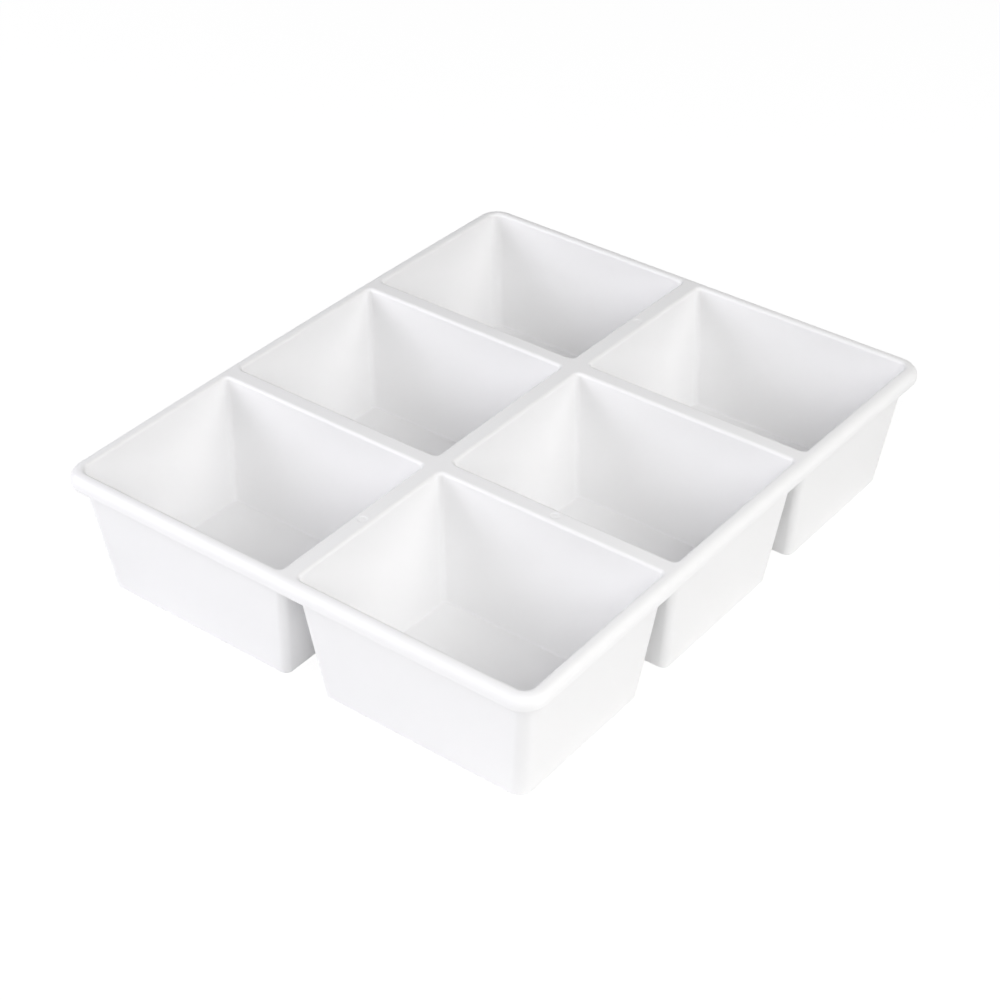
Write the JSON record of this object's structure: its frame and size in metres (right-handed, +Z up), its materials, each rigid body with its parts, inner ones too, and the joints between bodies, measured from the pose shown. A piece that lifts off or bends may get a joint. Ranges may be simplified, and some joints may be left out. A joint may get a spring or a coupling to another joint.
{
  "type": "drawer organizer insert",
  "caption": "Shallow white moulded insert for a drawer: open tapered bins hang from a flat deck of narrow webs with a rolled rim, and keep small items sorted.",
  "frame": {"origin": "middle of the underside, on the plane that the bins stand on", "axes": "+X across the two columns of bins, +Y from the front row to the rear row, +Z up out of the bins"},
  "size_m": [0.2836, 0.3434, 0.072],
  "materials": {
    "white_plastic": "satin white moulded polypropylene with a fine mould grain"
  },
  "bodies": {
    "root": {"outer_rim": "white_plastic", "centre_web": "white_plastic", "cross_web_front_left": "white_plastic", "cross_web_front_right": "white_plastic", "cross_web_rear_left": "white_plastic", "cross_web_rear_right": "white_plastic", "bin_front_left": "white_plastic", "bin_front_right": "white_plastic", "bin_middle_left": "white_plastic", "bin_middle_right": "white_plastic", "bin_rear_left": "white_plastic", "bin_rear_right": "white_plastic"}
  },
  "joints": []
}
